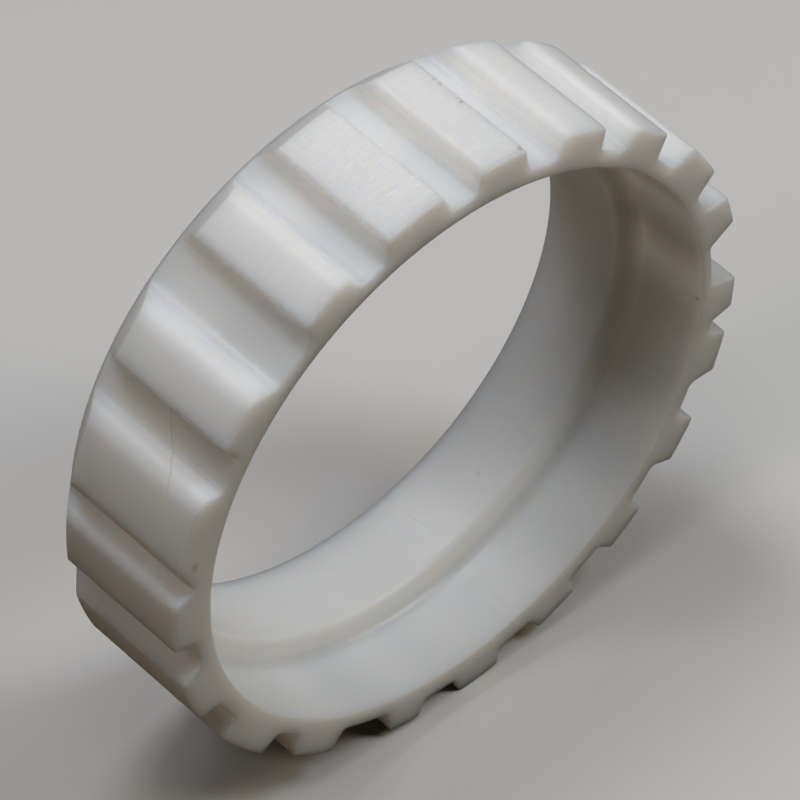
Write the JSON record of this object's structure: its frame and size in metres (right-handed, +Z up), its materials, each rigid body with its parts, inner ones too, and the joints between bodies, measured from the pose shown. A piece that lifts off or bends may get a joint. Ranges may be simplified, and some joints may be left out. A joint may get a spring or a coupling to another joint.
{
  "type": "toothed ring",
  "caption": "White one-piece ring with flat-topped teeth around the outside, tooth ends chamfered at the back, and a stepped through bore.",
  "frame": {"origin": "centre of the ring, on its axis and midway between the front and back faces", "axes": "+Y along the ring's axis from the front face (larger bore) to the back face (smaller bore, chamfered tooth ends); +Z up as the ring stands on its teeth; +X to the right seen from the front"},
  "size_m": [0.05, 0.0132, 0.0499],
  "materials": {
    "white_ring": "satin, milky white, slightly translucent"
  },
  "bodies": {
    "root": {"toothed_ring": "white_ring"}
  },
  "joints": []
}
